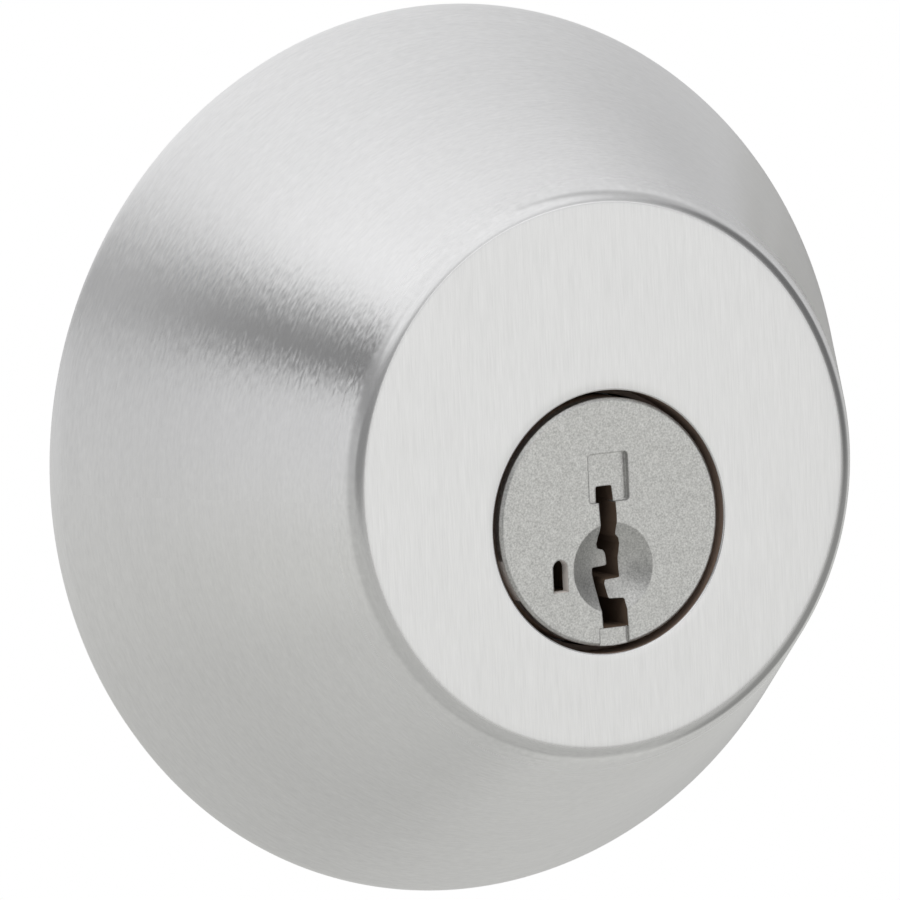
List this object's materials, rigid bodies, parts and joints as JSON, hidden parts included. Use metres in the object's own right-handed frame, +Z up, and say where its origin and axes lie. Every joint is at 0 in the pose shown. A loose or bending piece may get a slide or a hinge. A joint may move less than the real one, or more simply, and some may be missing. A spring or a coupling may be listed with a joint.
{
  "type": "deadbolt door lock",
  "caption": "Single-cylinder deadbolt: conical keyed rose outside, square bolt in an edge sleeve driven by a crank, and a thumbturn on a round rose inside.",
  "frame": {"origin": "centre of the outside rose's back face, on the rose's axis, in the plane of the door's outside face", "axes": "+Z up, +Y from the outside of the door to the inside, +X towards the door's edge, the way the bolt throws"},
  "size_m": [0.0921, 0.0909, 0.0636],
  "materials": {
    "satin_chrome": "satin chrome plate, brushed round the cone and up the flat face",
    "satin_chrome_cast": "satin chrome plate on a zinc casting",
    "hardened_ring": "black oxide on hardened steel",
    "zinc_casting": "raw zinc die casting",
    "cast_plug": "satin plated casting with a fine sandy grain",
    "plated_plate": "zinc plated steel sheet",
    "satin_faceplate": "satin chrome plated steel",
    "plated_post": "zinc plated turned steel",
    "plated_screw": "nickel plated steel",
    "black_ring": "black moulded nylon",
    "brass_pin": "turned brass",
    "brass_wafer": "stamped brass",
    "spring_wire": "bright spring wire",
    "hardened_pin": "ground hardened steel",
    "sidebar_steel": "plated steel bar",
    "carriage_zinc": "zinc die casting",
    "cover_steel": "steel strip",
    "clip_steel": "phosphate coated spring steel",
    "blade_steel": "zinc plated steel strip",
    "sleeve_steel": "zinc plated drawn steel",
    "bolt_steel": "satin chrome plated steel",
    "tail_steel": "zinc plated stamped steel",
    "nylon": "natural nylon"
  },
  "bodies": {
    "lock": {"outside_rose": "satin_chrome", "cylinder_guard": "hardened_ring", "cylinder_body": "zinc_casting", "anti_drill_pins": "hardened_pin", "outside_plate": "plated_plate", "threaded_posts": "plated_post", "cylinder_screws": "plated_screw", "adapter_ring": "black_ring", "faceplate": "satin_faceplate", "backing_plate": "plated_plate", "bolt_sleeve": "sleeve_steel", "bolt_case": "sleeve_steel", "crank_bushes": "nylon", "detent_spring": "spring_wire", "inside_rose": "satin_chrome_cast", "inside_plate": "plated_plate", "thumbturn_bush": "nylon", "wave_washer": "clip_steel", "mounting_screws": "plated_screw"},
    "plug": {"plug_body": "cast_plug", "plug_cover": "cover_steel", "sidebar": "sidebar_steel", "sidebar_springs": "spring_wire", "plug_clip": "clip_steel", "carriage_spring": "spring_wire", "pin_spring_1": "spring_wire", "pin_spring_2": "spring_wire", "pin_spring_3": "spring_wire", "pin_spring_4": "spring_wire", "pin_spring_5": "spring_wire"},
    "carriage": {"carriage": "carriage_zinc"},
    "torque_blade": {"torque_blade": "blade_steel"},
    "crank": {"crank": "tail_steel"},
    "bolt": {"bolt": "bolt_steel", "bolt_saw_pin": "hardened_pin", "bolt_tail": "tail_steel", "tail_pin": "hardened_pin", "yoke_pin": "hardened_pin"},
    "thumbturn": {"thumbturn": "satin_chrome_cast", "thumbturn_clip": "clip_steel"},
    "key_pin_1": {"key_pin_1": "brass_pin"},
    "wafer_1": {"wafer_1": "brass_wafer"},
    "key_pin_2": {"key_pin_2": "brass_pin"},
    "wafer_2": {"wafer_2": "brass_wafer"},
    "key_pin_3": {"key_pin_3": "brass_pin"},
    "wafer_3": {"wafer_3": "brass_wafer"},
    "key_pin_4": {"key_pin_4": "brass_pin"},
    "wafer_4": {"wafer_4": "brass_wafer"},
    "key_pin_5": {"key_pin_5": "brass_pin"},
    "wafer_5": {"wafer_5": "brass_wafer"}
  },
  "joints": [
    {"name": "thumbturn_turn", "type": "hinge", "parent": "lock", "child": "thumbturn", "pos_m": [0, 0.04445, -0.00317], "axis": [0, 1, 0], "range_deg": [0, 90]},
    {"name": "blade_turn", "type": "hinge", "parent": "lock", "child": "torque_blade", "pos_m": [0, 0.0222, -0.00317], "axis": [0, 1, 0], "range_deg": [0, 90]},
    {"name": "plug_turn", "type": "hinge", "parent": "lock", "child": "plug", "pos_m": [0, 0, -0.00317], "axis": [0, 1, 0], "range_deg": [0, 90]},
    {"name": "crank_turn", "type": "hinge", "parent": "lock", "child": "crank", "pos_m": [0, 0.02223, -0.00317], "axis": [0, 1, 0], "range_deg": [0, 90]},
    {"name": "bolt_throw", "type": "slide", "parent": "lock", "child": "bolt", "axis": [1, 0, 0], "range_m": [0, 0.0254]},
    {"name": "carriage_slide", "type": "slide", "parent": "plug", "child": "carriage", "axis": [0, 1, 0], "range_m": [0, 0.0015], "stiffness_N_per_m": 300, "springref_m": -0.001, "deforming": ["carriage_spring"]},
    {"name": "key_pin_1_lift", "type": "slide", "parent": "plug", "child": "key_pin_1", "axis": [0, 0, 1], "range_m": [0, 0.002], "stiffness_N_per_m": 60, "springref_m": -0.001, "deforming": ["pin_spring_1"]},
    {"name": "wafer_1_lift", "type": "slide", "parent": "carriage", "child": "wafer_1", "axis": [0, 0, 1], "range_m": [0, 0.002]},
    {"name": "key_pin_2_lift", "type": "slide", "parent": "plug", "child": "key_pin_2", "axis": [0, 0, 1], "range_m": [0, 0.002], "stiffness_N_per_m": 60, "springref_m": -0.001, "deforming": ["pin_spring_2"]},
    {"name": "wafer_2_lift", "type": "slide", "parent": "carriage", "child": "wafer_2", "axis": [0, 0, 1], "range_m": [0, 0.002]},
    {"name": "key_pin_3_lift", "type": "slide", "parent": "plug", "child": "key_pin_3", "axis": [0, 0, 1], "range_m": [0, 0.002], "stiffness_N_per_m": 60, "springref_m": -0.001, "deforming": ["pin_spring_3"]},
    {"name": "wafer_3_lift", "type": "slide", "parent": "carriage", "child": "wafer_3", "axis": [0, 0, 1], "range_m": [0, 0.002]},
    {"name": "key_pin_4_lift", "type": "slide", "parent": "plug", "child": "key_pin_4", "axis": [0, 0, 1], "range_m": [0, 0.002], "stiffness_N_per_m": 60, "springref_m": -0.001, "deforming": ["pin_spring_4"]},
    {"name": "wafer_4_lift", "type": "slide", "parent": "carriage", "child": "wafer_4", "axis": [0, 0, 1], "range_m": [0, 0.002]},
    {"name": "key_pin_5_lift", "type": "slide", "parent": "plug", "child": "key_pin_5", "axis": [0, 0, 1], "range_m": [0, 0.002], "stiffness_N_per_m": 60, "springref_m": -0.001, "deforming": ["pin_spring_5"]},
    {"name": "wafer_5_lift", "type": "slide", "parent": "carriage", "child": "wafer_5", "axis": [0, 0, 1], "range_m": [0, 0.002]}
  ],
  "couplings": [
    {"joint": "thumbturn_turn", "follows": "bolt_throw", "rad_per_m": 61.842},
    {"joint": "blade_turn", "follows": "bolt_throw", "rad_per_m": 61.842},
    {"joint": "plug_turn", "follows": "bolt_throw", "rad_per_m": 61.842},
    {"joint": "crank_turn", "follows": "bolt_throw", "rad_per_m": 61.842},
    {"joint": "wafer_1_lift", "follows": "key_pin_1_lift", "ratio": 1},
    {"joint": "wafer_2_lift", "follows": "key_pin_2_lift", "ratio": 1},
    {"joint": "wafer_3_lift", "follows": "key_pin_3_lift", "ratio": 1},
    {"joint": "wafer_4_lift", "follows": "key_pin_4_lift", "ratio": 1},
    {"joint": "wafer_5_lift", "follows": "key_pin_5_lift", "ratio": 1}
  ]
}
